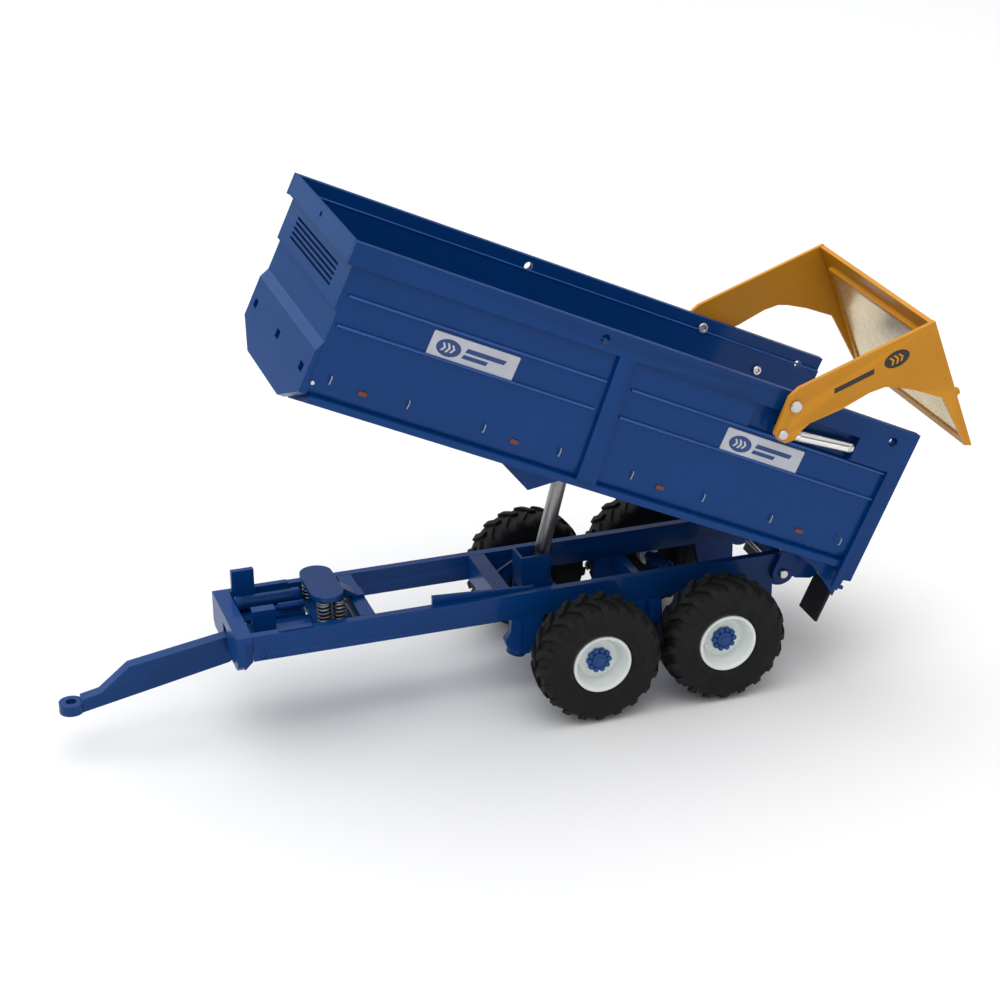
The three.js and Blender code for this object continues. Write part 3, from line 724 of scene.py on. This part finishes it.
def place_tub_pins():
    for side, sign in SIDES:
        pivot = bmesh.new()
        washer_pin(pivot, GATE_PIVOT, sign, (1.7, 0.8, 30.3, 31.2), (1.28, 38.27), (1.85, 39.0))
        replace_node(f"gate_pivot_pin_{side}", pivot, tub_at)
        mount = bmesh.new()
        washer_pin(mount, GATE_RAM_MOUNT, sign, (1.55, 0.7, 30.5, 31.35), (0.88, 36.18), (0.95, 36.5))
        replace_node(f"gate_ram_mount_pin_{side}", mount, tub_at)
        ram_pin = bmesh.new()
        low, high = sorted((sign * 33.75, sign * 38.25))
        add_rod(ram_pin, 0.69, low, high, "Y", GATE_RAM_PIN, 32)
        low, high = sorted((sign * 38.15, sign * 38.8))
        add_rod(ram_pin, 1.55, low, high, "Y", GATE_RAM_PIN, 40, 0.25)
        replace_node(f"gate_ram_pin_{side}", ram_pin, gate_at)


place_tub_pins()


# ---------------------------------------------------------------- tub details

HOOK_PLACES = (-168.6, -144.7, -120.7, -96.0, -71.6, -46.7, -22.6, 2.2)
LIGHT_PLACES = (-158.4, -110.4, -61.3, -11.6)


def place_hooks():
    for side, sign in SIDES:
        bm = bmesh.new()
        for u in HOOK_PLACES:
            proud = 1.2 if u > 0 else 0.0
            wall = WALL_OUTER + proud
            hook = [(-0.3, 20.6), (0.55, 20.6), (0.85, 20.3)]
            hook += [(0.85, 18.9), (0.75, 18.4), (0.45, 18.25), (0.25, 18.5)]
            add_tube(bm, [(u, sign * (wall + out), v) for out, v in hook], 0.2, 10)
        taper(bm)
        finish_piece(f"rope_hooks_{side}", bm, tub_at, hook_wire, "tipping_body")


def along(front, rear, y, v, steps):
    """Evenly spaced points on a line along the tub."""
    return [(front + (rear - front) * i / steps, y, v) for i in range(steps + 1)]


def place_beads():
    """Rolled beads along the side walls: two outside, one inside near the top, in a lighter blue as painted
    highlight.
    """
    for side, sign in SIDES:
        bm = bmesh.new()
        for v in (43.3, 34.6):
            for front, rear in ((-173, -91.5), (-83, 6.8)):
                add_tube(bm, along(front, rear, sign * (WALL_OUTER + 0.3), v, 6), 0.4, 16)
        add_tube(bm, along(-172.8, 11.4, sign * 31.05, 54, 8), 0.35, 12)
        taper(bm)
        finish_piece(f"wall_beads_{side}", bm, tub_at, bead_highlight_blue, "tipping_body")


def place_marker_lights():
    for side, sign in SIDES:
        lens = bmesh.new()
        low, high = sorted((sign * (WALL_OUTER - 0.05), sign * (WALL_OUTER + 0.45)))
        for u in LIGHT_PLACES:
            add_prism(lens, rounded(u - 1.4, u + 1.4, 17.7, 19.1, 0.45), low, high)
        taper(lens)
        finish_piece(f"marker_lights_{side}", lens, tub_at, lens_red, "tipping_body", 0.18)


def oval(x, z, half_width, half_height, steps=40):
    turns = [2 * math.pi * i / steps for i in range(steps)]
    return [(x + half_width * math.cos(turn), z + half_height * math.sin(turn)) for turn in turns]


def arrow(x, z, half_height, reach, thick):
    """An outline of one arrow-shaped stripe pointing along +x."""
    points = [(x, z - half_height), (x + thick, z - half_height), (x + thick + reach, z)]
    return points + [(x + thick, z + half_height), (x, z + half_height), (x + reach, z)]


def slanted(x0, x1, z0, z1, lean):
    return [(x0, z0), (x1, z0), (x1 + lean, z1), (x0 + lean, z1)]


def add_mark(dark, pale, x, z, sign, surface):
    """A generic mark with no lettering: a dark oval holding three pale arrows, and two dark bars."""
    low, high = sorted((sign * (surface - 0.02), sign * (surface + 0.06)))
    add_prism(dark, oval(x + 4.2, z, 3.8, 2.5), low, high)
    add_prism(dark, slanted(x + 9.2, x + 21.5, z + 0.25, z + 1.55, 0.5), low, high)
    add_prism(dark, slanted(x + 8.8, x + 16.5, z - 1.6, z - 0.45, 0.4), low, high)
    low, high = sorted((sign * (surface + 0.04), sign * (surface + 0.1)))
    for i in range(3):
        add_prism(pale, arrow(x + 1.9 + 1.45 * i, z, 1.35 - 0.2 * abs(i - 1), 0.75, 0.7), low, high)


def place_badges():
    for side, sign in SIDES:
        for number, start in enumerate((-146.0, -48.8)):
            plate = bmesh.new()
            low, high = sorted((sign * (WALL_OUTER - 0.05), sign * (WALL_OUTER + 0.3)))
            add_prism(plate, rounded(start, start + 27.2, 34.4, 42.0, 0.5), low, high)
            taper(plate)
            dark, pale = bmesh.new(), bmesh.new()
            add_mark(dark, pale, start + 1.6, 38.2, sign, WALL_OUTER + 0.3)
            taper(dark)
            taper(pale)
            label = f"{side}_{number}"
            finish_piece(f"badge_plate_{label}", plate, tub_at, plate_silver, "tipping_body", 0.12)
            finish_piece(f"badge_mark_{label}", dark, tub_at, badge_blue, "tipping_body")
            finish_piece(f"badge_arrows_{label}", pale, tub_at, plate_silver, "tipping_body")


def place_louvre_backs():
    """Dark sheets in the front wall's slots and nose holes, as painted shadow."""
    bm = bmesh.new()
    for i in range(5):
        add_box(bm, (-174.25, -21.9, 41.85 + 1.5 * i), (-174.1, 21.9, 42.55 + 1.5 * i))
    for y in (-26.6, 0, 26.6):
        add_box(bm, (-174.4, y - 1.7, 17.95), (-174.15, y + 1.7, 20.35))
    finish_piece("front_wall_slot_backs", bm, tub_at, slot_painted_shadow, "tipping_body")


def place_latches():
    """Small catches on the tub's rear posts, and a bright bolt at each lower front corner."""
    for side, sign in SIDES:
        bm = bmesh.new()
        low, high = sorted((sign * 34.0, sign * 35.1))
        add_prism(bm, rounded(10.8, 12.2, 33.4, 35.0, 0.3, 3), low, high)
        add_prism(bm, rounded(8.6, 10.9, 5.2, 6.4, 0.3, 3), low, high)
        add_trim(f"gate_catch_{side}", bm, tub_at, "blue_paint", "tipping_body", 0.1)
        bolt = bmesh.new()
        low, high = sorted((sign * 32.2, sign * 32.75))
        add_rod(bolt, 0.6, low, high, "Y", (-172.9, 0, 17.2), 24, 0.15)
        add_trim(f"corner_bolt_{side}", bolt, tub_at, "pin_steel", "tipping_body")


place_hooks()
place_beads()
place_marker_lights()
place_badges()
place_louvre_backs()
place_latches()


# ---------------------------------------------------------------- tailgate details


def place_gate_lining():
    """The glossy pressed sheet inside the tailgate, raised to a low point at its middle."""
    bm = bmesh.new()
    half_width, low, high = 33.4, -36.7, -2.8
    middle = (46.85, 0, (low + high) / 2)
    corners = [(-half_width, low), (half_width, low), (half_width, high), (-half_width, high)]
    front = [bm.verts.new((47.08, y, z)) for y, z in corners]
    back = [bm.verts.new((47.3, y, z)) for y, z in corners]
    peak = bm.verts.new(middle)
    for i in range(4):
        j = (i + 1) % 4
        bm.faces.new((front[i], front[j], peak))
        bm.faces.new((front[i], front[j], back[j], back[i]))
    bm.faces.new(back)
    finish_piece("gate_lining", bm, gate_at, gate_lining, "tailgate", 0, (), 0.5)


def place_gate_details():
    for side, sign in SIDES:
        dark, pale = bmesh.new(), bmesh.new()
        low, high = sorted((sign * (GATE_ARM_OUTER - 0.02), sign * (GATE_ARM_OUTER + 0.05)))
        add_prism(dark, oval(33.6, -0.9, 4.2, 2.5), low, high)
        add_prism(dark, slanted(12.2, 25.6, -2.0, -0.5, 0.5), low, high)
        finish_piece(f"arm_mark_{side}", dark, gate_at, print_black, "tailgate")
        low, high = sorted((sign * (GATE_ARM_OUTER + 0.03), sign * (GATE_ARM_OUTER + 0.09)))
        for i in range(3):
            add_prism(pale, arrow(31.3 + 1.5 * i, -0.9, 1.4 - 0.2 * abs(i - 1), 0.8, 0.7), low, high)
        add_trim(f"arm_arrows_{side}", pale, gate_at, "yellow_paint", "tailgate")
        rivets = bmesh.new()
        for a, z in ((45.6, 1.8), (46.0, -6.4), (46.2, -14.5)):
            low, high = sorted((sign * (GATE_ARM_OUTER - 0.15), sign * (GATE_ARM_OUTER + 0.25)))
            add_rod(rivets, 0.5, low, high, "Y", (a, 0, z), 20, 0.15)
        add_trim(f"arm_rivets_{side}", rivets, gate_at, "yellow_paint", "tailgate")


place_gate_lining()
place_gate_details()


# ---------------------------------------------------------------- studio

CAMERA_FROM_AXLES = Vector((-0.244575, -0.622392, 0.359066))
CAMERA_AZIMUTH = math.radians(-18.616)
CAMERA_ELEVATION = math.radians(24.053)
CAMERA_ROLL = math.radians(-0.420)
SENSOR = 36.0
FOCAL = 2.4029
SHIFT = (-0.01295, -0.02162)
FLOOR_RADIUS = 1.15


def make_camera():
    data = bpy.data.cameras.new("camera")
    data.sensor_width = SENSOR
    data.lens = FOCAL * SENSOR
    data.shift_x, data.shift_y = SHIFT
    data.clip_start, data.clip_end = 0.05, 30
    camera = bpy.data.objects.new("camera", data)
    bpy.context.scene.collection.objects.link(camera)
    a, e = CAMERA_AZIMUTH, CAMERA_ELEVATION
    right = Vector((math.cos(a), math.sin(a), 0))
    back = Vector((math.sin(a) * math.cos(e), -math.cos(a) * math.cos(e), math.sin(e)))
    up = back.cross(right)
    turn = Matrix((right, up, back)).transposed() @ Matrix.Rotation(CAMERA_ROLL, 3, "Z")
    place = CAMERA_FROM_AXLES + Vector((axle_middle.x, 0, 0))
    camera.matrix_world = Matrix.Translation(place) @ turn.to_4x4()
    bpy.context.scene.camera = camera


def area_light(name, place, target, size, power, colour=(1, 1, 1)):
    data = bpy.data.lights.new(name, "AREA")
    data.shape = "RECTANGLE"
    data.size, data.size_y = size
    data.energy = power
    data.color = colour
    lamp = bpy.data.objects.new(name, data)
    bpy.context.scene.collection.objects.link(lamp)
    aim = Vector(target) - Vector(place)
    lamp.matrix_world = Matrix.Translation(place) @ aim.to_track_quat("-Z", "Y").to_matrix().to_4x4()


def make_world():
    """An even sky that darkens towards the horizon."""
    world = bpy.data.worlds.new("studio")
    world.use_nodes = True
    tree = world.node_tree
    direction = tree.nodes.new("ShaderNodeTexCoord")
    height = tree.nodes.new("ShaderNodeSeparateXYZ")
    dome = tree.nodes.new("ShaderNodeValToRGB")
    dome.color_ramp.elements[0].position = 0.08
    dome.color_ramp.elements[0].color = rgb(0.2, 0.2, 0.2)
    dome.color_ramp.elements[1].position = 0.45
    dome.color_ramp.elements[1].color = rgb(1, 1, 1)
    tree.links.new(direction.outputs["Generated"], height.inputs[0])
    tree.links.new(height.outputs["Z"], dome.inputs["Fac"])
    tree.links.new(dome.outputs["Color"], tree.nodes["Background"].inputs["Color"])
    tree.nodes["Background"].inputs["Strength"].default_value = 0.85
    bpy.context.scene.world = world


def make_studio():
    area_light("top_softbox", (-0.15, 0.1, 1.3), (0, 0, 0), (1.9, 1.5), 12)
    area_light("back_panel", (-0.66, 1.5, 0.43), (0, 0, 0.1), (1.4, 0.7), 2.2, (0.6, 0.85, 1.0))
    bm = bmesh.new()
    add_lathe(bm, [(0, 0), (FLOOR_RADIUS, 0), (FLOOR_RADIUS, -0.02), (0, -0.02)], 96, "Z")
    mesh = bpy.data.meshes.new("studio_floor")
    bmesh.ops.recalc_face_normals(bm, faces=bm.faces)
    bm.to_mesh(mesh)
    bm.free()
    mesh.materials.append(floor_pale)
    floor = bpy.data.objects.new("studio_floor", mesh)
    bpy.context.scene.collection.objects.link(floor)
    bpy.context.scene.view_settings.view_transform = "Standard"


make_camera()
make_world()
make_studio()
